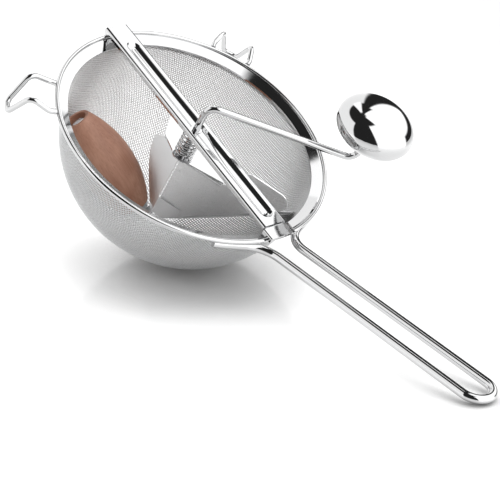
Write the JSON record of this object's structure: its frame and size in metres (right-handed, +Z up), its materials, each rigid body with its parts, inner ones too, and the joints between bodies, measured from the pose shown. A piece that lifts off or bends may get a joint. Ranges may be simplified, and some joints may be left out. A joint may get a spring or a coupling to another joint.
{
  "type": "food mill",
  "caption": "Hand-cranked sieve food mill: round wire-mesh bowl with a long wire handle and pot hooks; a crank on a cross bar turns a scraper wing and a wooden roller over the mesh.",
  "frame": {"origin": "on the table, under the middle of the mill as it lies", "axes": "+X from the bowl toward the end of the handle, +Z up from the table, +Y to the crank knob's side"},
  "size_m": [0.3618, 0.2206, 0.1503],
  "materials": {
    "polished_steel": "polished stainless steel",
    "satin_steel": "satin stainless sheet",
    "plain_steel": "plain steel",
    "steel_mesh": "fine woven stainless wire",
    "roller_wood": "bare reddish beech",
    "bearing": "turned",
    "knob_bearing": "moulded"
  },
  "bodies": {
    "frame": {"mesh_bowl": "steel_mesh", "rim_band": "polished_steel", "mesh_hem_ring": "plain_steel", "handle_wire": "polished_steel", "bridge_strap": "polished_steel", "front_hook": "polished_steel", "rear_hook": "polished_steel"},
    "bridge": {"bridge_bar": "polished_steel", "shaft_bush": "bearing", "upper_spring_washer": "plain_steel"},
    "rotor": {"crank_rod": "polished_steel", "pressure_spring": "plain_steel", "lower_spring_washer": "plain_steel", "hub_sleeve": "polished_steel", "hub_pin": "plain_steel", "hub_plate": "polished_steel", "scraper_wing": "satin_steel", "roller_arm": "satin_steel", "roller_axle": "plain_steel", "roller_spacer": "plain_steel", "roller_washer": "plain_steel", "roller_cap": "polished_steel", "knob_retainer": "plain_steel"},
    "roller": {"wooden_roller": "roller_wood", "roller_ferrule": "polished_steel"},
    "knob": {"knob_shell": "polished_steel", "knob_bush": "knob_bearing"}
  },
  "joints": [
    {"name": "bridge_lift", "type": "hinge", "parent": "frame", "child": "bridge", "pos_m": [-0.00135, 0.00061, 0.04751], "axis": [0, 1, 0], "range_deg": [0, 5]},
    {"name": "crank_turn", "type": "hinge", "parent": "bridge", "child": "rotor", "pos_m": [-0.08697, 0.00061, 0.09621], "axis": [0.497, 0, 0.8677], "continuous": true},
    {"name": "roller_spin", "type": "hinge", "parent": "rotor", "child": "roller", "pos_m": [-0.14606, -0.02786, 0.06009], "axis": [-0.2042, -0.5068, 0.8375], "continuous": true},
    {"name": "knob_spin", "type": "hinge", "parent": "rotor", "child": "knob", "pos_m": [0.0032, 0.08222, 0.10886], "axis": [0.497, 0, 0.8677], "continuous": true}
  ],
  "couplings": [
    {"joint": "roller_spin", "follows": "crank_turn", "ratio": -2.8167}
  ]
}
